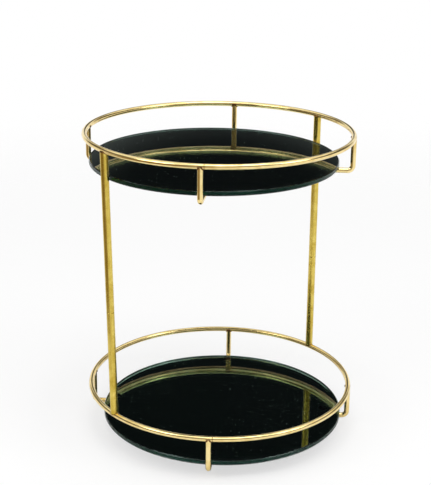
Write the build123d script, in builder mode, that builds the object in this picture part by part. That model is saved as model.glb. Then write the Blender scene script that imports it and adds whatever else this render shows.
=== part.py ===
from build123d import *

import os
from math import cos, radians, sin

# Two-tier round organizer: wire rails, glass discs, two screwed legs and a ball-race turntable.
# Millimetres, +Z up. The origin is on the turning axis at the plane that the rubber feet stand on.
# -Y is the front. Angles are seen from above, counted from +X towards +Y.

# ---------------------------------------------------------------- driving sizes

# wire rails
rail_wire_d = 5.5
upper_rail_r = 137.5
lower_rail_r = 139.9
rail_spacing = 277.2
rail_above_glass = 26.2

# glass discs of one size, loose between the uprights of their brackets
glass_t = 5.0
glass_chamfer = 0.8
upper_rail_to_glass_edge = 8.8
lower_rail_to_glass_edge = 11.2

# each disc has slid this share of its play, towards this angle
upper_glass_slide = 0.86
upper_glass_slide_angle = 160.0
lower_glass_slide = 0.95
lower_glass_slide_angle = 291.0

# wire brackets: an upright under the rail, a bend, and an arm below the glass
bracket_wire_d = 5.5
bracket_bend_r = 5.5
bracket_tip_edge = 0.8
upper_arm_length = 38.0
plate_overlap = 14.0

# the brackets are welded by hand, within a few degrees of quarter turns
upper_front_angle = 263.1
upper_right_angle = 353.8
upper_rear_angle = 83.1
upper_left_angle = 172.5
lower_front_angle = 265.8
lower_right_angle = 354.0
lower_rear_angle = 85.8
lower_left_angle = 174.0

# clear pads between the arms and the glass
pad_d = 9.0
pad_rise = 1.1
pad_grip = 1.2
pad_from_edge = 14.0

# legs: two tubes each, screwed together over a stud
leg_d = 8.0
leg_wall = 1.0
right_leg_angle = 39.0
left_leg_angle = 216.8
leg_seat = 1.2
leg_joint_rise = 112.0
leg_seam = 0.35
stud_thread_d = 4.8
stud_plug_length = 14.0
stud_thread_length = 13.0
insert_length = 16.0

# the tiers don't stand quite in line: the upper one lies to the left of the turning axis,
# and each leg's foot stands a little further round than its head
upper_tier_x = -4.0
leg_twist = 3.0

# pressed turntable plates
plate_r = 75.0
plate_t = 1.2
plate_gap = 2.0

# ball race
race_r = 50.0
ball_d = 5.0
ball_count = 10
ball_clearance = 0.05
cage_t = 1.0
cage_width = 9.0
pocket_clearance = 0.1

# centre rivet
rivet_d = 9.0
rivet_clearance = 0.05
rivet_flange_d = 16.0
rivet_flange_t = 1.0
washer_d = 18.0
washer_t = 0.6
rivet_bore_d = 6.0

# rubber feet, pulled through holes in the base plate
foot_count = 6
foot_r = 65.0
foot_h = 4.0
foot_d = 12.0
foot_tip_d = 10.0
foot_stem_d = 4.6
foot_head_d = 6.6
foot_head_t = 0.7

# ---------------------------------------------------------------- worked-out places

base_plate_z = foot_h
race_z = base_plate_z + plate_t + plate_gap / 2
tray_plate_z = race_z + plate_gap / 2
arm_z = tray_plate_z + plate_t + bracket_wire_d / 2
lower_glass_z = arm_z + bracket_wire_d / 2 + pad_rise
lower_rail_z = lower_glass_z + glass_t + rail_above_glass
upper_rail_z = lower_rail_z + rail_spacing
arm_drop = lower_rail_z - arm_z
upper_arm_z = upper_rail_z - arm_drop
upper_glass_z = upper_arm_z + bracket_wire_d / 2 + pad_rise

upper_glass_r = upper_rail_r - upper_rail_to_glass_edge
lower_glass_r = lower_rail_r - lower_rail_to_glass_edge
upper_glass_shift = upper_glass_slide * (upper_rail_to_glass_edge - bracket_wire_d / 2)
lower_glass_shift = lower_glass_slide * (lower_rail_to_glass_edge - bracket_wire_d / 2)

upper_bracket_angles = [upper_front_angle, upper_right_angle, upper_rear_angle, upper_left_angle]
lower_bracket_angles = [lower_front_angle, lower_right_angle, lower_rear_angle, lower_left_angle]
bracket_sides = ["front", "right", "rear", "left"]
leg_sides = ["right", "left"]
leg_angles = [right_leg_angle, left_leg_angle]

ball_seat_r = ball_d / 2 + ball_clearance
pressing_r = ball_seat_r + plate_t

os.makedirs("parts", exist_ok=True)


def on_circle(radius, angle, height, centre_x=0):
    """The point at this radius, angle and height round an upright axis at centre_x."""
    return Vector(centre_x + radius * cos(radians(angle)), radius * sin(radians(angle)), height)


def upright_plane(angle, centre_x):
    """A plane through a tier's axis: local x runs outward at the angle, local y runs up."""
    outward = on_circle(1, angle, 0)
    return Plane(origin=(centre_x, 0, 0), x_dir=outward, z_dir=(outward.Y, -outward.X, 0))


# ---------------------------------------------------------------- wire rails

with BuildPart() as upper_rail_ring:
    with BuildSketch(Plane.XZ):
        with Locations((upper_tier_x + upper_rail_r, upper_rail_z)):
            Circle(rail_wire_d / 2)
    revolve(axis=Axis((upper_tier_x, 0, 0), (0, 0, 1)))
upper_rail_ring.part.label = "upper_rail_ring"
export_step(upper_rail_ring.part, "parts/upper_rail_ring.step")

with BuildPart() as lower_rail_ring:
    with BuildSketch(Plane.XZ):
        with Locations((lower_rail_r, lower_rail_z)):
            Circle(rail_wire_d / 2)
    revolve(axis=Axis.Z)
lower_rail_ring.part.label = "lower_rail_ring"
export_step(lower_rail_ring.part, "parts/lower_rail_ring.step")


# ---------------------------------------------------------------- wire brackets

def make_bracket(label, angle, centre_x, rail_r, rail_z, arm_end_r, rail):
    """One bent wire, cut to the rail it is welded under."""
    with BuildPart() as bracket:
        with BuildLine(upright_plane(angle, centre_x)) as route:
            FilletPolyline(
                (rail_r, rail_z),
                (rail_r, rail_z - arm_drop),
                (arm_end_r, rail_z - arm_drop),
                radius=bracket_bend_r,
            )
        with BuildSketch(Plane(origin=route.line @ 0, z_dir=route.line % 0)):
            Circle(bracket_wire_d / 2)
        sweep()
        tip = bracket.edges().sort_by(Axis((0, 0, 0), on_circle(1, angle, 0)))[0]
        chamfer(tip, length=bracket_tip_edge)
        add(rail, mode=Mode.SUBTRACT)
    bracket.part.label = label
    export_step(bracket.part, f"parts/{label}.step")
    return bracket.part


upper_arm_end_r = upper_rail_r - upper_arm_length
lower_arm_end_r = plate_r - plate_overlap

upper_brackets = []
for side, angle in zip(bracket_sides, upper_bracket_angles):
    name = f"upper_bracket_{side}"
    upper_brackets.append(
        make_bracket(
            name, angle, upper_tier_x, upper_rail_r, upper_rail_z, upper_arm_end_r,
            upper_rail_ring.part,
        )
    )

lower_brackets = []
for side, angle in zip(bracket_sides, lower_bracket_angles):
    name = f"lower_bracket_{side}"
    lower_brackets.append(
        make_bracket(
            name, angle, 0, lower_rail_r, lower_rail_z, lower_arm_end_r,
            lower_rail_ring.part,
        )
    )


# ---------------------------------------------------------------- clear pads

def make_pads(label, angles, centre_x, radius, glass_z, brackets):
    """Pads that straddle the arms and lift the glass off them, as separate solids."""
    with BuildPart() as pads:
        for angle in angles:
            with BuildSketch(Plane.XY.offset(glass_z - pad_rise - pad_grip)):
                with Locations(on_circle(radius, angle, 0, centre_x)):
                    Circle(pad_d / 2)
            extrude(amount=pad_rise + pad_grip)
        add(brackets, mode=Mode.SUBTRACT)
    pads.part.label = label
    export_step(pads.part, f"parts/{label}.step")


upper_pad_r = upper_glass_r - pad_from_edge
lower_pad_r = lower_glass_r - pad_from_edge
make_pads(
    "upper_glass_pads", upper_bracket_angles, upper_tier_x, upper_pad_r, upper_glass_z,
    upper_brackets,
)
make_pads(
    "lower_glass_pads", lower_bracket_angles, 0, lower_pad_r, lower_glass_z,
    lower_brackets,
)


# ---------------------------------------------------------------- glass discs

def make_glass(label, centre_x, radius, bottom_z, shift, shift_angle):
    """A disc with ground edges, slid aside between its uprights."""
    with BuildPart() as glass:
        with BuildSketch(Plane.XY.offset(bottom_z)):
            with Locations(on_circle(shift, shift_angle, 0, centre_x)):
                Circle(radius)
        extrude(amount=glass_t)
        chamfer(glass.edges().filter_by(GeomType.CIRCLE), length=glass_chamfer)
    glass.part.label = label
    export_step(glass.part, f"parts/{label}.step")


make_glass(
    "upper_glass", upper_tier_x, upper_glass_r, upper_glass_z,
    upper_glass_shift, upper_glass_slide_angle,
)
make_glass(
    "lower_glass", 0, lower_glass_r, lower_glass_z,
    lower_glass_shift, lower_glass_slide_angle,
)


# ---------------------------------------------------------------- legs

def make_leg(side, angle):
    """A lower and an upper tube, screwed together over a stud and an insert."""
    foot = on_circle(lower_rail_r, angle + leg_twist, lower_rail_z)
    head = on_circle(upper_rail_r, angle, upper_rail_z, upper_tier_x)
    lean = (head - foot).normalized()
    length = (head - foot).length
    bore_r = leg_d / 2 - leg_wall
    seat = Plane(origin=foot, z_dir=lean)

    with BuildPart() as lower_tube:
        with BuildSketch(seat.offset(leg_seat)):
            Circle(leg_d / 2)
            Circle(bore_r, mode=Mode.SUBTRACT)
        extrude(amount=leg_joint_rise - leg_seat)
        mouth = lower_tube.edges().filter_by(GeomType.CIRCLE).sort_by(Axis.Z)[-2:]
        chamfer(mouth.sort_by(SortBy.RADIUS)[-1], length=leg_seam)
        add(lower_rail_ring.part, mode=Mode.SUBTRACT)
    lower_tube.part.label = f"{side}_leg_lower_tube"
    export_step(lower_tube.part, f"parts/{side}_leg_lower_tube.step")

    with BuildPart() as upper_tube:
        with BuildSketch(seat.offset(leg_joint_rise)):
            Circle(leg_d / 2)
            Circle(bore_r, mode=Mode.SUBTRACT)
        extrude(amount=length - leg_joint_rise - leg_seat)
        mouth = upper_tube.edges().filter_by(GeomType.CIRCLE).sort_by(Axis.Z)[:2]
        chamfer(mouth.sort_by(SortBy.RADIUS)[-1], length=leg_seam)
        add(upper_rail_ring.part, mode=Mode.SUBTRACT)
    upper_tube.part.label = f"{side}_leg_upper_tube"
    export_step(upper_tube.part, f"parts/{side}_leg_upper_tube.step")

    with BuildPart() as stud:
        with BuildSketch(seat.offset(leg_joint_rise - stud_plug_length)):
            Circle(bore_r)
        extrude(amount=stud_plug_length)
        with BuildSketch(seat.offset(leg_joint_rise)):
            Circle(stud_thread_d / 2)
        extrude(amount=stud_thread_length)
    stud.part.label = f"{side}_leg_stud"
    export_step(stud.part, f"parts/{side}_leg_stud.step")

    with BuildPart() as insert:
        with BuildSketch(seat.offset(leg_joint_rise)):
            Circle(bore_r)
            Circle(stud_thread_d / 2, mode=Mode.SUBTRACT)
        extrude(amount=insert_length)
    insert.part.label = f"{side}_leg_insert"
    export_step(insert.part, f"parts/{side}_leg_insert.step")


for side, angle in zip(leg_sides, leg_angles):
    make_leg(side, angle)


# ---------------------------------------------------------------- pressed turntable plates

def pressed_section(sheet_z, channel_side, hole_r):
    """Half a section of a sheet with a channel pressed into it around the ball circle."""
    with Locations(((hole_r + plate_r) / 2, sheet_z + plate_t / 2)):
        Rectangle(plate_r - hole_r, plate_t)
    with Locations((race_r, race_z)):
        Circle(pressing_r)
    open_side_z = race_z - channel_side * pressing_r
    with Locations((race_r, (open_side_z + race_z + channel_side * plate_gap / 2) / 2)):
        Rectangle(2 * pressing_r, pressing_r + plate_gap / 2, mode=Mode.SUBTRACT)
    with Locations((race_r, race_z)):
        Circle(ball_seat_r, mode=Mode.SUBTRACT)


with BuildPart() as turntable_base_plate:
    with BuildSketch(Plane.XZ):
        pressed_section(base_plate_z, -1, rivet_d / 2)
    revolve(axis=Axis.Z)
    with BuildSketch(Plane.XY.offset(base_plate_z)):
        with PolarLocations(foot_r, foot_count):
            Circle(foot_stem_d / 2)
    extrude(amount=plate_t, mode=Mode.SUBTRACT)
turntable_base_plate.part.label = "turntable_base_plate"
export_step(turntable_base_plate.part, "parts/turntable_base_plate.step")

with BuildPart() as turntable_top_plate:
    with BuildSketch(Plane.XZ):
        pressed_section(tray_plate_z, 1, rivet_d / 2 + rivet_clearance)
    revolve(axis=Axis.Z)
turntable_top_plate.part.label = "turntable_top_plate"
export_step(turntable_top_plate.part, "parts/turntable_top_plate.step")

# ---------------------------------------------------------------- balls and cage

with BuildPart() as bearing_balls:
    with Locations((0, 0, race_z)):
        with PolarLocations(race_r, ball_count):
            Sphere(ball_d / 2)
bearing_balls.part.label = "bearing_balls"
export_step(bearing_balls.part, "parts/bearing_balls.step")

with BuildPart() as ball_cage:
    with BuildSketch(Plane.XY.offset(race_z - cage_t / 2)):
        Circle(race_r + cage_width / 2)
        Circle(race_r - cage_width / 2, mode=Mode.SUBTRACT)
        with PolarLocations(race_r, ball_count):
            Circle(ball_d / 2 + pocket_clearance, mode=Mode.SUBTRACT)
    extrude(amount=cage_t)
ball_cage.part.label = "ball_cage"
export_step(ball_cage.part, "parts/ball_cage.step")

# ---------------------------------------------------------------- centre rivet and washer

washer_z = tray_plate_z + plate_t + rivet_clearance
rivet_top_z = washer_z + washer_t + rivet_flange_t
rivet_bottom_z = base_plate_z - rivet_flange_t

with BuildPart() as pivot_rivet:
    with BuildSketch(Plane.XY.offset(rivet_bottom_z)):
        Circle(rivet_flange_d / 2)
    extrude(amount=rivet_flange_t)
    with BuildSketch(Plane.XY.offset(base_plate_z)):
        Circle(rivet_d / 2)
    extrude(amount=washer_z + washer_t - base_plate_z)
    with BuildSketch(Plane.XY.offset(washer_z + washer_t)):
        Circle(rivet_flange_d / 2)
    extrude(amount=rivet_flange_t)
    with BuildSketch(Plane.XY.offset(rivet_bottom_z)):
        Circle(rivet_bore_d / 2)
    extrude(amount=rivet_top_z - rivet_bottom_z, mode=Mode.SUBTRACT)
pivot_rivet.part.label = "pivot_rivet"
export_step(pivot_rivet.part, "parts/pivot_rivet.step")

with BuildPart() as pivot_washer:
    with BuildSketch(Plane.XY.offset(washer_z)):
        Circle(washer_d / 2)
        Circle(rivet_d / 2, mode=Mode.SUBTRACT)
    extrude(amount=washer_t)
pivot_washer.part.label = "pivot_washer"
export_step(pivot_washer.part, "parts/pivot_washer.step")

# ---------------------------------------------------------------- rubber feet

with BuildPart() as foot_shape:
    with BuildSketch(Plane.XZ):
        with BuildLine():
            Polyline(
                (0, 0),
                (foot_tip_d / 2, 0),
                (foot_d / 2, foot_h),
                (foot_stem_d / 2, foot_h),
                (foot_stem_d / 2, foot_h + plate_t),
                (foot_head_d / 2, foot_h + plate_t),
                (foot_stem_d / 2, foot_h + plate_t + foot_head_t),
                (0, foot_h + plate_t + foot_head_t),
                close=True,
            )
        make_face()
    revolve(axis=Axis.Z)

with BuildPart() as rubber_feet:
    with PolarLocations(foot_r, foot_count):
        add(foot_shape.part)
rubber_feet.part.label = "rubber_feet"
export_step(rubber_feet.part, "parts/rubber_feet.step")
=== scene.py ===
# %% [markdown]
# A two-tier dressing-table stand: gold wire rails, dark mirror glass, two screwed legs and a
# turntable that hides under the lower glass. The engineering model already has every solid at its
# real size, so this script doesn't build the stand again. It loads that model, and adds what an
# engineering model lacks: finishes, weld beads, the coating under the glass, light and a camera.

# %% Load the engineering model
from math import atan2, cos, pi, radians, sin, sqrt

import bmesh
import bpy
from mathutils import Matrix, Vector


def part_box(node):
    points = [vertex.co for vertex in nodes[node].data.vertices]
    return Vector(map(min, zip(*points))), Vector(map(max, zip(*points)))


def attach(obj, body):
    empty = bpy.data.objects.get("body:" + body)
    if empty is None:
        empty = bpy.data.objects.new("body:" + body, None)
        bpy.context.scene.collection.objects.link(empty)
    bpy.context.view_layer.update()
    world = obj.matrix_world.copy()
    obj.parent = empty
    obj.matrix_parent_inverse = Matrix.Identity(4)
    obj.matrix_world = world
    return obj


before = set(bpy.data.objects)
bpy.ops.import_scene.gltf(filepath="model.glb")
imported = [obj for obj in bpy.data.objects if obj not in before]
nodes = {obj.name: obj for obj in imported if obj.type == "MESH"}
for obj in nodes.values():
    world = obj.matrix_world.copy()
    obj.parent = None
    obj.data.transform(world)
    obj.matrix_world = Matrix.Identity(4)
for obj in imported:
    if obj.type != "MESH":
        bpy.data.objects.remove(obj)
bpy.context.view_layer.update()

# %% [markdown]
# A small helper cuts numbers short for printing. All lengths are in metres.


def rounded(values, digits=4):
    """A few numbers cut short, for printing."""
    return tuple(round(value, digits) for value in values)


# %% [markdown]
# Everything that is added later has to sit on the real pieces, so its sizes are read from them.
# A rail is a ring of round wire: its box gives the wire's radius, and its own centre, radius and
# height. The two rails don't stand quite in line, so each tier keeps its own centre. The brackets
# are bent from the same wire as the rails.

# %% Sizes read from the model
def ring_sizes(name):
    """The middle of a rail, the radius of its centre line and its wire's radius."""
    low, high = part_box(name)
    wire_r = (high.z - low.z) / 2
    return (low + high) / 2, (high.x - low.x) / 2 - wire_r, wire_r


upper_rail_centre, upper_rail_r, rail_wire_r = ring_sizes("upper_rail_ring")
lower_rail_centre, lower_rail_r, _ = ring_sizes("lower_rail_ring")
tiers = {"upper": (upper_rail_centre, upper_rail_r), "lower": (lower_rail_centre, lower_rail_r)}
bracket_sides = ["front", "right", "rear", "left"]
leg_sides = ["right", "left"]
for tier, (rail_centre, rail_r) in tiers.items():
    print(tier, "rail: radius", round(rail_r, 4), "centre", rounded(rail_centre))

# %% [markdown]
# The photograph was taken from a little above the stand. Its two rails are circles seen at a
# slant, and the flatness of those two ellipses fixes the camera's height, distance and lens.
# It looks a little to the left of the stand's axis and is tilted by less than a degree.

# %% Camera
image_height_px = 485
focal_px = 1194.5
camera_distance = 1.1937
camera_above_rail = 0.2863
camera_pitch = radians(18.781)
camera_yaw = radians(-0.308)
camera_roll = radians(0.701)
sensor_mm = 36

camera_data = bpy.data.cameras.new("photo_camera")
camera_data.sensor_width = sensor_mm
camera_data.lens = sensor_mm * focal_px / image_height_px
camera = bpy.data.objects.new("photo_camera", camera_data)
bpy.context.scene.collection.objects.link(camera)
bpy.context.scene.camera = camera

ahead = Vector((sin(camera_yaw), cos(camera_yaw), 0))
forward = cos(camera_pitch) * ahead - sin(camera_pitch) * Vector((0, 0, 1))
level_right = Vector((cos(camera_yaw), -sin(camera_yaw), 0))
right = cos(camera_roll) * level_right + sin(camera_roll) * level_right.cross(forward)
up = right.cross(forward)
camera_place = Vector((0, -camera_distance, upper_rail_centre.z + camera_above_rail))
camera_turn = Matrix((right, up, -forward)).transposed().to_4x4()
camera.matrix_world = Matrix.Translation(camera_place) @ camera_turn
print("camera:", round(camera_data.lens, 2), "mm at", rounded(camera_place, 3))

# %% [markdown]
# A shader in Blender is a graph of small nodes, and each takes three or four lines to make and
# link. The world, the floor and the finishes all need the same few, so these become helpers: feed
# a socket, do a sum, make a soft step, and mix two colours or two shaders by a mask.

# %% Node helpers
def feed(tree, value, socket):
    """Links another node's output to a socket, or sets the socket to a plain value."""
    if isinstance(value, bpy.types.NodeSocket):
        tree.links.new(value, socket)
    else:
        socket.default_value = value


def maths(tree, operation, *values):
    """The result of one sum."""
    node = tree.nodes.new("ShaderNodeMath")
    node.operation = operation
    for value, socket in zip(values, node.inputs):
        feed(tree, value, socket)
    return node.outputs["Value"]


def soft_step(tree, value, off, full):
    """0 where a value is at its off level, 1 at its full level, and soft between them."""
    step = tree.nodes.new("ShaderNodeMapRange")
    step.interpolation_type = "SMOOTHSTEP"
    feed(tree, value, step.inputs["Value"])
    feed(tree, off, step.inputs["From Min"])
    feed(tree, full, step.inputs["From Max"])
    return step.outputs["Result"]


def mix_colours(tree, mask, plain, marked):
    """One colour where the mask is 0 and another where it is 1. Either may be an output."""
    mix = tree.nodes.new("ShaderNodeMix")
    mix.data_type = "RGBA"
    tree.links.new(mask, mix.inputs["Factor"])
    for colour, socket in ((plain, mix.inputs["A"]), (marked, mix.inputs["B"])):
        feed(tree, (*colour, 1) if isinstance(colour, tuple) else colour, socket)
    return mix.outputs["Result"]


def mix_shaders(tree, mask, usual, chosen):
    """The usual shader where the mask is 0 and the chosen one where it is 1."""
    mix = tree.nodes.new("ShaderNodeMixShader")
    tree.links.new(mask, mix.inputs["Fac"])
    tree.links.new(usual, mix.inputs[1])
    tree.links.new(chosen, mix.inputs[2])
    return mix.outputs["Shader"]


# %% [markdown]
# Polished metal has no look of its own: it shows its surroundings. So the world comes before any
# finish. It is a graph that starts from the direction in which a ray leaves the stand, and the
# parts of that direction tell how high and how far to the back the ray points. Colours go out as
# they are, because the Standard view doesn't bend them.

# %% World: an empty sky
bpy.context.scene.view_settings.view_transform = "Standard"
world = bpy.data.worlds.new("studio")
bpy.context.scene.world = world
world.use_nodes = True
sky = world.node_tree
sky.nodes.clear()
direction = sky.nodes.new("ShaderNodeTexCoord").outputs["Generated"]
parts = sky.nodes.new("ShaderNodeSeparateXYZ")
sky.links.new(direction, parts.inputs["Vector"])
print("world:", world.name)

# %% [markdown]
# What metal and mirror glass see is a small white studio with three darker parts: a black screen
# high at the back, a dim wall all round that stops short of that screen, and a brown corner low at
# the front left. Screen and wall make the glass look black, the wall also draws a thin line along
# the rails, and the corner gives the upright tubes a dark side.

# %% World: the studio that metal sees
white = (1.0, 1.0, 1.0)
corner_brown = (0.28, 0.20, 0.09)
corner_towards = (-0.79, -0.50, -0.34)
corner_half_angles = (14, 68)
screen_black = (0.010, 0.011, 0.012)
screen_towards = (0.0, 0.92, 0.38)
screen_half_angles = (8, 16)
# The soft edges of the wall: the parts of a ray's direction at which it is clear and full.
wall_dim = (0.120, 0.105, 0.085)
wall_foot = (0.10, 0.18)
wall_top = (0.60, 0.50)
wall_gap = (0.88, 0.74)


def round_patch(towards, half_angles):
    """A soft round part of the studio: full in its inner half angle, none past its outer one."""
    inner, outer = half_angles
    closeness = sky.nodes.new("ShaderNodeVectorMath")
    closeness.operation = "DOT_PRODUCT"
    closeness.inputs[1].default_value = Vector(towards).normalized()
    sky.links.new(direction, closeness.inputs[0])
    return soft_step(sky, closeness.outputs["Value"], cos(radians(outer)), cos(radians(inner)))


above_foot = soft_step(sky, parts.outputs["Z"], *wall_foot)
below_top = soft_step(sky, parts.outputs["Z"], *wall_top)
outside_gap = soft_step(sky, parts.outputs["Y"], *wall_gap)
wall = maths(sky, "MINIMUM", maths(sky, "MINIMUM", above_foot, below_top), outside_gap)
corner = round_patch(corner_towards, corner_half_angles)
screen = round_patch(screen_towards, screen_half_angles)
studio = mix_colours(sky, corner, white, corner_brown)
studio = mix_colours(sky, wall, studio, wall_dim)
studio = mix_colours(sky, screen, studio, screen_black)
print("studio:", len(sky.nodes), "nodes")

# %% [markdown]
# Only mirrored rays should see that studio. The photograph's background is plain white, so what
# the camera sees directly, and what it sees through glass, is white. Matt surfaces get one plain
# light level from all sides, which leaves no more than a soft shade where pieces meet.

# %% World: what each kind of ray sees
matt_light_level = 0.70
ray = sky.nodes.new("ShaderNodeLightPath")


def world_light(colour, strength=1.0):
    """One light of the world, plain or with the studio's colours."""
    light = sky.nodes.new("ShaderNodeBackground")
    light.inputs["Strength"].default_value = strength
    feed(sky, colour, light.inputs["Color"])
    return light.outputs["Background"]


white_paper = world_light((*white, 1))
light = world_light((*white, 1), matt_light_level)
light = mix_shaders(sky, ray.outputs["Is Transmission Ray"], light, white_paper)
light = mix_shaders(sky, ray.outputs["Is Glossy Ray"], light, world_light(studio))
light = mix_shaders(sky, ray.outputs["Is Camera Ray"], light, white_paper)
output = sky.nodes.new("ShaderNodeOutputWorld")
sky.links.new(light, output.inputs["Surface"])
print("world:", len(sky.nodes), "nodes, matt light at", matt_light_level)

# %% [markdown]
# Three soft boxes light the stand: a large one overhead, and one at each side. A tube of polished
# gold shows a side box as one long bright line, which is what makes it read as round.

# %% Lamps
# Each has its place, the length of its side, and its power in watts.
soft_boxes = {
    "overhead_box": ((0.15, -0.35, 1.7), 1.0, 8),
    "left_box": ((-1.15, -0.75, 1.30), 0.8, 6),
    "right_box": ((1.25, -0.50, 1.25), 0.7, 5),
}


def soft_box(name, place, size, power):
    """A square area lamp that looks at the middle of the stand."""
    light = bpy.data.lights.new(name, "AREA")
    light.shape = "SQUARE"
    light.size = size
    light.energy = power
    lamp = bpy.data.objects.new(name, light)
    bpy.context.scene.collection.objects.link(lamp)
    aim = Vector((0, 0, upper_rail_centre.z / 2)) - Vector(place)
    turn = aim.to_track_quat("-Z", "Y").to_matrix().to_4x4()
    lamp.matrix_world = Matrix.Translation(place) @ turn


for name, (place, size, power) in soft_boxes.items():
    soft_box(name, place, size, power)
print("lamps:", list(soft_boxes))

# %% [markdown]
# The stand needs a floor to throw its soft shadow on. A wide disc that the stand rests on is
# enough, because its rim will turn clear before anyone could see it end.

# %% Floor
floor_r = 1.6
floor_segments = 96

floor_mesh = bpy.data.meshes.new("floor")
bm = bmesh.new()
bmesh.ops.create_circle(bm, cap_ends=True, radius=floor_r, segments=floor_segments)
bm.to_mesh(floor_mesh)
bm.free()
floor = bpy.data.objects.new("floor", floor_mesh)
bpy.context.scene.collection.objects.link(floor)
print("floor radius:", floor_r, "m")

# %% [markdown]
# The photograph's background is plain white, so the floor is part lit paper and part a white of
# its own, which keeps the shadow faint. Towards its rim it turns clear and lets the white world
# show, because a floor that simply ended would draw a line behind the stand. Metal sees a smaller
# sheet of paper, and the studio beyond it.

# %% Floor paper
floor_grey = 0.92
floor_solid_r = 0.40
floor_mirrored_r = 0.60
own_white = 0.62


def new_material(name):
    """A new material, its node tree and its shader."""
    material = bpy.data.materials.new(name)
    material.use_nodes = True
    return material, material.node_tree, material.node_tree.nodes["Principled BSDF"]


def own_coordinates(tree):
    """The piece's own coordinates, in metres."""
    return tree.nodes.new("ShaderNodeTexCoord").outputs["Object"]


floor_paper, tree, paper = new_material("floor_paper")
paper.inputs["Base Color"].default_value = (floor_grey, floor_grey, floor_grey, 1)
paper.inputs["Roughness"].default_value = 0.9
paper.inputs["Specular IOR Level"].default_value = 0.1
own_light = tree.nodes.new("ShaderNodeEmission")
clear = tree.nodes.new("ShaderNodeBsdfTransparent")
ray = tree.nodes.new("ShaderNodeLightPath")
reach = tree.nodes.new("ShaderNodeVectorMath")
reach.operation = "LENGTH"
tree.links.new(own_coordinates(tree), reach.inputs[0])

own_share = maths(tree, "MULTIPLY", ray.outputs["Is Camera Ray"], own_white)
half_lit = mix_shaders(tree, own_share, paper.outputs["BSDF"], own_light.outputs["Emission"])
shrink = floor_mirrored_r - floor_r
clear_r = maths(tree, "MULTIPLY_ADD", ray.outputs["Is Glossy Ray"], shrink, floor_r)
fade = soft_step(tree, reach.outputs["Value"], floor_solid_r, clear_r)
faded = mix_shaders(tree, fade, half_lit, clear.outputs["BSDF"])
tree.links.new(faded, tree.nodes["Material Output"].inputs["Surface"])
floor_mesh.materials.append(floor_paper)
print("floor paper: solid to", floor_solid_r, "m, clear at", floor_r, "m")

# %% [markdown]
# Finishes share three effects, and each is built once as a node group. All three start from a
# noise or a pattern of cells on the piece's own coordinates, so that the marks keep their real
# size and stay on the piece when it turns.

# %% Pattern helpers
def new_group(name, inputs, outputs):
    """A shader node group with its named inputs and outputs, and its two end nodes."""
    group = bpy.data.node_groups.new(name, "ShaderNodeTree")
    for way, labels in (("INPUT", inputs), ("OUTPUT", outputs)):
        for label in labels:
            group.interface.new_socket(name=label, in_out=way, socket_type="NodeSocketFloat")
    return group, group.nodes.new("NodeGroupInput"), group.nodes.new("NodeGroupOutput")


def noise(tree, place, scale, detail, distortion=0.0):
    """Soft noise at a place, with its scale in patterns per metre."""
    texture = tree.nodes.new("ShaderNodeTexNoise")
    texture.inputs["Detail"].default_value = detail
    texture.inputs["Distortion"].default_value = distortion
    tree.links.new(place, texture.inputs["Vector"])
    feed(tree, scale, texture.inputs["Scale"])
    return texture.outputs["Fac"]


def cells(tree, place, scale, feature):
    """The distance from a cell's point or its edge, with the scale in cells per metre."""
    texture = tree.nodes.new("ShaderNodeTexVoronoi")
    texture.feature = feature
    tree.links.new(place, texture.inputs["Vector"])
    feed(tree, scale, texture.inputs["Scale"])
    return texture.outputs["Distance"]


def remap(tree, source, low, high, to_low=0.0, to_high=1.0):
    """Stretches the part of a value between low and high over a new range."""
    spread = tree.nodes.new("ShaderNodeMapRange")
    spread.inputs["From Min"].default_value = low
    spread.inputs["From Max"].default_value = high
    spread.inputs["To Min"].default_value = to_low
    spread.inputs["To Max"].default_value = to_high
    tree.links.new(source, spread.inputs["Value"])
    return spread.outputs["Result"]


# %% [markdown]
# The first effect is handling: a polished surface that is touched every day gathers broad smudges,
# which dull it in patches, and hair-fine scratches, which only show where light grazes them. The
# scratches are the edges between small cells.

# %% Node group: handling
smudge_levels = (0.42, 0.72)
scratch_width = 0.035

handling, start, end = new_group(
    "handling", ["Smudge Scale", "Scratch Scale"], ["Smudge", "Scratches"]
)
place = own_coordinates(handling)
smudge = noise(handling, place, start.outputs["Smudge Scale"], detail=4, distortion=0.8)
handling.links.new(remap(handling, smudge, *smudge_levels), end.inputs["Smudge"])
hair = cells(handling, place, start.outputs["Scratch Scale"], "DISTANCE_TO_EDGE")
handling.links.new(remap(handling, hair, 0.0, scratch_width), end.inputs["Scratches"])
print("group:", handling.name)

# %% [markdown]
# The second effect is grain: the fine, even unevenness of moulded rubber, nylon and plated sheet.
# It is plain noise at two scales, and the material decides how deep it goes.

# %% Node group: grain
tone_scale = 90
tone_levels = (0.35, 0.65)

grain, start, end = new_group("grain", ["Grain Scale"], ["Tone", "Height"])
place = own_coordinates(grain)
fine = noise(grain, place, start.outputs["Grain Scale"], detail=3)
broad = noise(grain, place, tone_scale, detail=3)
grain.links.new(fine, end.inputs["Height"])
grain.links.new(remap(grain, broad, *tone_levels), end.inputs["Tone"])
print("group:", grain.name)

# %% [markdown]
# The third is dust. It settles only on faces that look up, as scattered specks and not as a film,
# so the mask is a sparse pattern of cell points times how far the surface's normal points up.

# %% Node group: dust
facing_up_levels = (0.75, 0.98)
patch_scale = 26
patch_levels = (0.45, 0.62)


def upwardness(tree):
    """How far the surface looks up: 1 on top, 0 on an upright side and -1 underneath."""
    facing = tree.nodes.new("ShaderNodeNewGeometry")
    normal = tree.nodes.new("ShaderNodeSeparateXYZ")
    tree.links.new(facing.outputs["Normal"], normal.inputs["Vector"])
    return normal.outputs["Z"]


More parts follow.
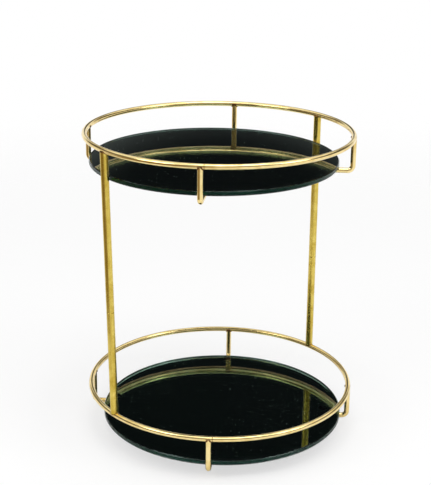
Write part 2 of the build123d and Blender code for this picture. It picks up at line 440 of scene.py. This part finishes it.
dust, start, end = new_group("dust", ["Speck Size", "Speck Scale"], ["Specks"])
place = own_coordinates(dust)
middle = cells(dust, place, start.outputs["Speck Scale"], "F1")
inside = maths(dust, "LESS_THAN", middle, start.outputs["Speck Size"])
top_only = remap(dust, upwardness(dust), *facing_up_levels)
patchy = remap(dust, noise(dust, place, patch_scale, detail=2), *patch_levels)
specks = maths(dust, "MULTIPLY", inside, maths(dust, "MULTIPLY", top_only, patchy))
dust.links.new(specks, end.inputs["Specks"])
print("group:", dust.name)

# %% [markdown]
# Each finish below follows one pattern, so the steps that repeat become small helpers too: an
# effect placed in the material, a colour and a roughness that a mask drives, a relief, and the
# pieces that get the material.

# %% Material helpers
def place_group(tree, group, **values):
    """Puts a shared effect into a material, with its own values."""
    node = tree.nodes.new("ShaderNodeGroup")
    node.node_tree = group
    for label, value in values.items():
        node.inputs[label.replace("_", " ")].default_value = value
    return node.outputs


def tint(tree, shader, mask, plain, marked):
    """Gives the shader one base colour where the mask is 0 and another where it is 1."""
    tree.links.new(mix_colours(tree, mask, plain, marked), shader.inputs["Base Color"])


def roughen(tree, shader, mask, smooth, dull):
    """Makes the shader smooth where the mask is 0 and dull where it is 1."""
    tree.links.new(remap(tree, mask, 0, 1, smooth, dull), shader.inputs["Roughness"])


def emboss(tree, shader, height, relief):
    """Feeds a height into the shader's normal, as so many metres of relief."""
    bump = tree.nodes.new("ShaderNodeBump")
    bump.inputs["Distance"].default_value = relief
    bump.inputs["Strength"].default_value = 1.0
    tree.links.new(height, bump.inputs["Height"])
    tree.links.new(bump.outputs["Normal"], shader.inputs["Normal"])


def dress(material, *names):
    """Gives nodes of the model a material in place of their plain one."""
    for name in names:
        mesh = nodes[name].data
        mesh.materials.clear()
        mesh.materials.append(material)
    print(material.name, "on", ", ".join(names))


# %% [markdown]
# The gold is a thin bright plating on steel wire and tube. Its colour is the metal's own tint of
# whatever it reflects, so the base colour is that tint. Smudges make it a little rougher and
# a little deeper in tone, and the scratches stay far below what the eye can count. The legs are
# drawn tube, and show long upright streaks: noise whose coordinates are squashed along the tube.

# %% Finish: polished gold
wire_light, wire_deep = (0.92, 0.74, 0.35), (0.78, 0.57, 0.21)
tube_light, tube_deep = (0.76, 0.60, 0.15), (0.54, 0.38, 0.05)
scratch_relief = 0.000004
streak_scale = 900
streak_squash = (1, 1, 0.012)
streak_levels = (0.40, 0.68)


def polished_gold(name, light, deep, smooth, dull, drawn=0.0):
    """Bright plating that smudges dull, with a share of streaks from drawing the tube."""
    material, tree, shader = new_material(name)
    marks = place_group(tree, handling, Smudge_Scale=70, Scratch_Scale=1400)
    shader.inputs["Metallic"].default_value = 1
    colour = mix_colours(tree, marks["Smudge"], light, deep)
    if drawn:
        squashed = tree.nodes.new("ShaderNodeMapping")
        squashed.inputs["Scale"].default_value = streak_squash
        tree.links.new(own_coordinates(tree), squashed.inputs["Vector"])
        streaks = noise(tree, squashed.outputs["Vector"], streak_scale, detail=3)
        streaked = remap(tree, streaks, *streak_levels, 0.0, drawn)
        colour = mix_colours(tree, streaked, colour, deep)
    tree.links.new(colour, shader.inputs["Base Color"])
    roughen(tree, shader, marks["Smudge"], smooth, dull)
    emboss(tree, shader, marks["Scratches"], scratch_relief)
    return material


wire_gold = polished_gold("wire_gold", wire_light, wire_deep, smooth=0.12, dull=0.22)
tube_gold = polished_gold("tube_gold", tube_light, tube_deep, smooth=0.22, dull=0.32, drawn=0.7)
for tier in tiers:
    dress(wire_gold, f"{tier}_rail_ring", *[f"{tier}_bracket_{side}" for side in bracket_sides])
for side in leg_sides:
    dress(tube_gold, f"{side}_leg_lower_tube", f"{side}_leg_upper_tube")

# %% [markdown]
# The shelves are clear glass with a dark mirror coating underneath, so that from above they are
# black mirrors. The edge is ground, and light that enters there spreads inside the glass and comes
# out green. So the disc gets real glass with the green of iron in its body, which an absorbing
# volume gives at its true thickness. Its faces are polished and its edge is rough, which the
# direction of the surface tells apart.

# %% Finish: green-edged glass
side_levels = (0.9, 0.5)
ground_rough = 0.34
smudge_rough = 0.03
edge_teal = (0.16, 0.58, 0.46)
body_green = (0.0, 0.85, 0.45)

glass, tree, shader = new_material("shelf_glass")
marks = place_group(tree, handling, Smudge_Scale=22, Scratch_Scale=500)
level = maths(tree, "ABSOLUTE", upwardness(tree))
edge = remap(tree, level, *side_levels)
tree.links.new(mix_colours(tree, edge, white, edge_teal), shader.inputs["Specular Tint"])
ground = remap(tree, level, *side_levels, 0.0, ground_rough)
smudged = remap(tree, marks["Smudge"], 0, 1, 0.0, smudge_rough)
tree.links.new(maths(tree, "MAXIMUM", ground, smudged), shader.inputs["Roughness"])
shader.inputs["Base Color"].default_value = (0.97, 1.0, 0.99, 1)
shader.inputs["IOR"].default_value = 1.5
shader.inputs["Transmission Weight"].default_value = 1
absorption = tree.nodes.new("ShaderNodeVolumeAbsorption")
absorption.inputs["Color"].default_value = (*body_green, 1)
absorption.inputs["Density"].default_value = 36
tree.links.new(absorption.outputs["Volume"], tree.nodes["Material Output"].inputs["Volume"])
dress(glass, "upper_glass", "lower_glass")

# %% [markdown]
# The coating is a dark metal layer, sealed with black backing paint. Seen through the glass it is
# a mirror, and from below it is matt and black. One material does both: the direction of the
# surface tells the mirror from the paint. The specks of the dust effect are put on the mirror,
# just below the glass, where they read as dust that lies on top of it.

# %% Finish: dark mirror coating
underside_levels = (-0.3, -0.6)
mirror_grey = (0.25, 0.26, 0.26)
speck_grey = (0.70, 0.72, 0.70)
paint_black = (0.020, 0.021, 0.021)
mirror_rough, speck_rough, paint_rough = 0.03, 0.9, 0.45

coating_material, tree, shader = new_material("mirror_coating")
specks = place_group(tree, dust, Speck_Size=0.07, Speck_Scale=170)["Specks"]
underside = remap(tree, upwardness(tree), *underside_levels)
mirror_side = mix_colours(tree, specks, mirror_grey, speck_grey)
tint(tree, shader, underside, mirror_side, paint_black)
shader.inputs["Metallic"].default_value = 1
above = remap(tree, specks, 0, 1, mirror_rough, speck_rough)
below = remap(tree, underside, 0, 1, 0.0, paint_rough)
tree.links.new(maths(tree, "MAXIMUM", above, below), shader.inputs["Roughness"])
print("finish:", coating_material.name)

# %% [markdown]
# A piece that is added to the stand has to turn with it. So each new mesh rides on one body of the
# model, and takes the finish that it belongs to. All that differs from piece to piece is its form,
# so one helper does the rest.

# %% From a mesh to a piece of the stand
def new_piece(name, bm, material, body, smooth=True):
    """Turns a bmesh into a finished piece: outward faces, shading, material and body."""
    bmesh.ops.recalc_face_normals(bm, faces=bm.faces)
    mesh = bpy.data.meshes.new(name)
    bm.to_mesh(mesh)
    bm.free()
    mesh.materials.append(material)
    mesh.polygons.foreach_set("use_smooth", [smooth] * len(mesh.polygons))
    piece = bpy.data.objects.new(name, mesh)
    bpy.context.scene.collection.objects.link(piece)
    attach(piece, body)
    return piece


# %% [markdown]
# The coating is a film far thinner than anything else here. It covers the glass from below and
# runs up over the bevel of its lower edge, so a circle is extruded twice: outwards and up along
# the bevel, and then through the film's own thickness by the solidify operator. Its faces stay
# flat shaded, because a mirror that is smoothed over its rim bends everything it shows.

# %% The coating under each shelf
coating_t = 0.00010
coating_segments = 160
glass_bevel = 0.0008
glass_lift = 0.00002


def coating(name, disc):
    """A thin dark film under a glass disc and up its lower bevel, a hair clear of the glass."""
    low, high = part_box(disc)
    centre = (low + high) / 2
    outer_r = (high.x - low.x) / 2 + glass_lift
    inner_r = outer_r - glass_bevel
    bm = bmesh.new()
    place = Matrix.Translation((centre.x, centre.y, low.z - glass_lift))
    bmesh.ops.create_circle(
        bm, cap_ends=True, radius=inner_r, segments=coating_segments, matrix=place
    )
    rim = [edge for edge in bm.edges if edge.is_boundary]
    grown = bmesh.ops.extrude_edge_only(bm, edges=rim)
    bevel_top = [part for part in grown["geom"] if isinstance(part, bmesh.types.BMVert)]
    wider = outer_r / inner_r
    bmesh.ops.scale(bm, verts=bevel_top, vec=(wider, wider, 1), space=place.inverted())
    bmesh.ops.translate(bm, verts=bevel_top, vec=(0, 0, glass_bevel))
    bmesh.ops.recalc_face_normals(bm, faces=bm.faces)
    bmesh.ops.solidify(bm, geom=bm.faces[:], thickness=-coating_t)
    return new_piece(name, bm, coating_material, "tray", smooth=False)


for tier in tiers:
    film = coating(f"{tier}_glass_coating", f"{tier}_glass")
    print(film.name, len(film.data.polygons), "faces,", coating_t * 1000, "mm thick")

# %% [markdown]
# The remaining finishes are on pieces that hide under the shelves or inside the legs. They are
# quiet, but each still has what its real material has. The plates, the rivet and the studs are
# steel with a zinc plating: a cool grey whose tone drifts from patch to patch, which the broad
# noise of the grain gives, with a faint relief and dulled by handling.

# %% Finish: zinc-plated steel
zinc, tree, shader = new_material("zinc_plate")
marks = place_group(tree, handling, Smudge_Scale=120, Scratch_Scale=700)
texture = place_group(tree, grain, Grain_Scale=1200)
shader.inputs["Metallic"].default_value = 1
tint(tree, shader, texture["Tone"], plain=(0.56, 0.58, 0.60), marked=(0.68, 0.68, 0.66))
roughen(tree, shader, marks["Smudge"], smooth=0.24, dull=0.42)
emboss(tree, shader, texture["Height"], relief=0.00003)
dress(zinc, "turntable_base_plate", "turntable_top_plate", "pivot_rivet")
dress(zinc, *[f"{side}_leg_stud" for side in leg_sides])

# %% [markdown]
# The bearing balls are hardened steel, lapped to a mirror and thinly greased. At this size one
# colour is enough, and a roughness that drifts with the smudges stands for the grease.

# %% Finish: bearing steel
bearing_steel, tree, shader = new_material("bearing_steel")
marks = place_group(tree, handling, Smudge_Scale=300, Scratch_Scale=2500)
shader.inputs["Metallic"].default_value = 1
shader.inputs["Base Color"].default_value = (0.72, 0.73, 0.75, 1)
roughen(tree, shader, marks["Smudge"], smooth=0.05, dull=0.16)
dress(bearing_steel, "bearing_balls")

# %% [markdown]
# The insert in each leg is turned from brass bar, redder than the plating. The grain drives its
# tone, and the grain's fine relief stands for the tool's marks.

# %% Finish: turned brass
turned_brass, tree, shader = new_material("turned_brass")
texture = place_group(tree, grain, Grain_Scale=3000)
shader.inputs["Metallic"].default_value = 1
shader.inputs["Roughness"].default_value = 0.3
tint(tree, shader, texture["Tone"], plain=(0.66, 0.48, 0.20), marked=(0.76, 0.58, 0.28))
emboss(tree, shader, texture["Height"], relief=0.00002)
dress(turned_brass, *[f"{side}_leg_insert" for side in leg_sides])

# %% [markdown]
# The ball cage and the washer are moulded in natural nylon, which is milky: light goes in a little
# way and comes out nearby. A small share of subsurface light gives that without real volume.

# %% Finish: nylon
nylon, tree, shader = new_material("natural_nylon")
texture = place_group(tree, grain, Grain_Scale=2200)
shader.inputs["Roughness"].default_value = 0.45
shader.inputs["Subsurface Weight"].default_value = 0.2
shader.inputs["Subsurface Scale"].default_value = 0.002
tint(tree, shader, texture["Tone"], plain=(0.80, 0.79, 0.74), marked=(0.86, 0.85, 0.80))
emboss(tree, shader, texture["Height"], relief=0.00002)
dress(nylon, "ball_cage", "pivot_washer")

# %% [markdown]
# The feet are black rubber with the matt skin of their mould. Black needs little colour but
# a deeper relief than the other finishes, or it would look like plastic.

# %% Finish: black rubber
rubber, tree, shader = new_material("black_rubber")
texture = place_group(tree, grain, Grain_Scale=1800)
tint(tree, shader, texture["Tone"], plain=(0.018, 0.018, 0.018), marked=(0.035, 0.034, 0.032))
roughen(tree, shader, texture["Tone"], smooth=0.62, dull=0.80)
emboss(tree, shader, texture["Height"], relief=0.00008)
dress(rubber, "rubber_feet")

# %% [markdown]
# The pads between the arms and the glass are clear silicone: softer than glass, a little milky and
# never quite polished. Most of its light passes through, and the grain drifts the rest.

# %% Finish: clear silicone
silicone, tree, shader = new_material("clear_silicone")
texture = place_group(tree, grain, Grain_Scale=1600)
shader.inputs["IOR"].default_value = 1.41
shader.inputs["Transmission Weight"].default_value = 0.85
tint(tree, shader, texture["Tone"], plain=(0.86, 0.88, 0.87), marked=(0.93, 0.94, 0.93))
roughen(tree, shader, texture["Tone"], smooth=0.18, dull=0.32)
dress(silicone, *[f"{tier}_glass_pads" for tier in tiers])

# %% [markdown]
# Welds go where the wires meet, so those places are read from the model as well. A bracket stands
# upright, so the middle of all its points gives its angle on the rail. A leg leans, so only the
# points at the end that meets the rail count.

# %% Where the posts meet the rails
end_reach = 0.002


def angle_round(rail_centre, points):
    """The angle, seen from above, of the middle of some points round a rail."""
    out = sum(points, Vector()) / len(points) - rail_centre
    return atan2(out.y, out.x)


def standing_angle(name, rail_centre):
    """The angle at which an upright piece stands on its rail."""
    return angle_round(rail_centre, [vertex.co for vertex in nodes[name].data.vertices])


def end_angle(name, rail_centre, end):
    """The angle of the lowest or the highest end of a leaning tube, round its rail."""
    points = [vertex.co for vertex in nodes[name].data.vertices]
    end_z = end(point.z for point in points)
    near_end = [point for point in points if abs(point.z - end_z) < end_reach]
    return angle_round(rail_centre, near_end)


def on_rail(rail_centre, rail_r, angle):
    """A point on the centre line of a rail."""
    return rail_centre + rail_r * Vector((cos(angle), sin(angle), 0))


# %% [markdown]
# Every joint between wires is a weld. Where a round post meets a round rail, their meeting line is
# a saddle, so the bead is a thin ring bent to that saddle: a small circle spun into a ring by one
# operator, and each of its points then raised by the rail's own curve. A leg is wider than its
# rail, and there the bead follows the rim of the tube, which stops a little clear of the middle.
# On the outer side every bead is ground flush, so that nothing catches a sleeve. The beads' dark
# brown colour is painted shade of the crease where a post meets its rail.

# %% One weld bead
# Painted shade: both tones of the weld colour are a dark brown that stands for the shade where
# post and rail meet.
weld_shade_pale, weld_shade_dark = (0.20, 0.09, 0.026), (0.10, 0.04, 0.012)
weld_gold_painted_shade = polished_gold("weld_gold_painted_shade", weld_shade_pale, weld_shade_dark, smooth=0.25, dull=0.45)
print("finish:", weld_gold_painted_shade.name)


def wire_ring(ring_r, wire_r, sides, steps):
    """A ring round the Z axis: a small circle with so many sides, spun in so many steps."""
    bm = bmesh.new()
    across = Matrix.Translation((ring_r, 0, 0)) @ Matrix.Rotation(pi / 2, 4, "X")
    bmesh.ops.create_circle(bm, cap_ends=False, radius=wire_r, segments=sides, matrix=across)
    full_turn = {"cent": (0, 0, 0), "axis": (0, 0, 1), "angle": 2 * pi}
    bmesh.ops.spin(bm, geom=bm.edges[:], steps=steps, use_merge=True, **full_turn)
    return bm


def weld_bead(name, post_r, bead_r, foot, out_angle, side, rim=0.0):
    """A bead round a post that meets the rail from one side: -1 from below, 1 from above."""
    bm = wire_ring(post_r, bead_r, sides=10, steps=36)
    for vertex in bm.verts:
        reach = min(abs(vertex.co.x), rail_wire_r)
        vertex.co.z += side * max(sqrt(rail_wire_r**2 - reach**2), rim)
        vertex.co.x = min(vertex.co.x, post_r if rim else rail_wire_r)
    turned = Matrix.Translation(foot) @ Matrix.Rotation(out_angle, 4, "Z")
    bmesh.ops.transform(bm, matrix=turned, verts=bm.verts)
    return new_piece(name, bm, weld_gold_painted_shade, "tray")


# %% [markdown]
# The brackets hang below both rails. A leg stands on the lower rail and ends below the upper one,
# so its two beads lie on the sides of the rails that face one another. A leg is wider than its
# rail, so a bead as thick as a bracket's would stand out at the sides, and a finer one is used.

# %% All the weld beads
bracket_bead_r = 0.0009
leg_bead_r = 0.0005
leg_r = 0.004
leg_rim = 0.0012

beads = []
for tier, (rail_centre, rail_r) in tiers.items():
    for side in bracket_sides:
        angle = standing_angle(f"{tier}_bracket_{side}", rail_centre)
        foot = on_rail(rail_centre, rail_r, angle)
        name = f"{tier}_weld_{side}"
        beads.append(weld_bead(name, rail_wire_r, bracket_bead_r, foot, angle, -1))
    for side in leg_sides:
        end, up_or_down = (min, 1) if tier == "lower" else (max, -1)
        angle = end_angle(f"{side}_leg_{tier}_tube", rail_centre, end)
        foot = on_rail(rail_centre, rail_r, angle)
        name = f"{side}_leg_{tier}_weld"
        beads.append(weld_bead(name, leg_r, leg_bead_r, foot, angle, up_or_down, leg_rim))
print("weld beads:", len(beads))

# %% [markdown]
# Each rail is one wire bent into a ring, and its two ends meet in a butt weld beside the front
# bracket. It is ground flush at the top and on the outside, and what is left elsewhere is a low,
# narrow collar round the wire. The collar takes the beads' dark brown, which is painted shade.

# %% The butt weld of each rail
seam_bead_r = 0.0005
seam_sunk = 0.00036
seam_angle = radians(1.6)


def rail_seam(name, rail_centre, rail_r, angle):
    """A low collar round the rail's wire where its ends meet."""
    bm = wire_ring(rail_wire_r - seam_sunk, seam_bead_r, sides=8, steps=32)
    for vertex in bm.verts:
        vertex.co.x = min(vertex.co.x, rail_wire_r)
        vertex.co.y = min(vertex.co.y, rail_wire_r)
    along = Matrix.Rotation(angle, 4, "Z") @ Matrix.Rotation(pi / 2, 4, "X")
    placed = Matrix.Translation(on_rail(rail_centre, rail_r, angle)) @ along
    bmesh.ops.transform(bm, matrix=placed, verts=bm.verts)
    # The collar gets the same dark brown painted shade as the beads.
    return new_piece(name, bm, weld_gold_painted_shade, "tray")


for tier, (rail_centre, rail_r) in tiers.items():
    front = standing_angle(f"{tier}_bracket_front", rail_centre)
    seam = rail_seam(f"{tier}_rail_seam", rail_centre, rail_r, front + seam_angle)
    print(seam.name, len(seam.data.polygons), "faces")
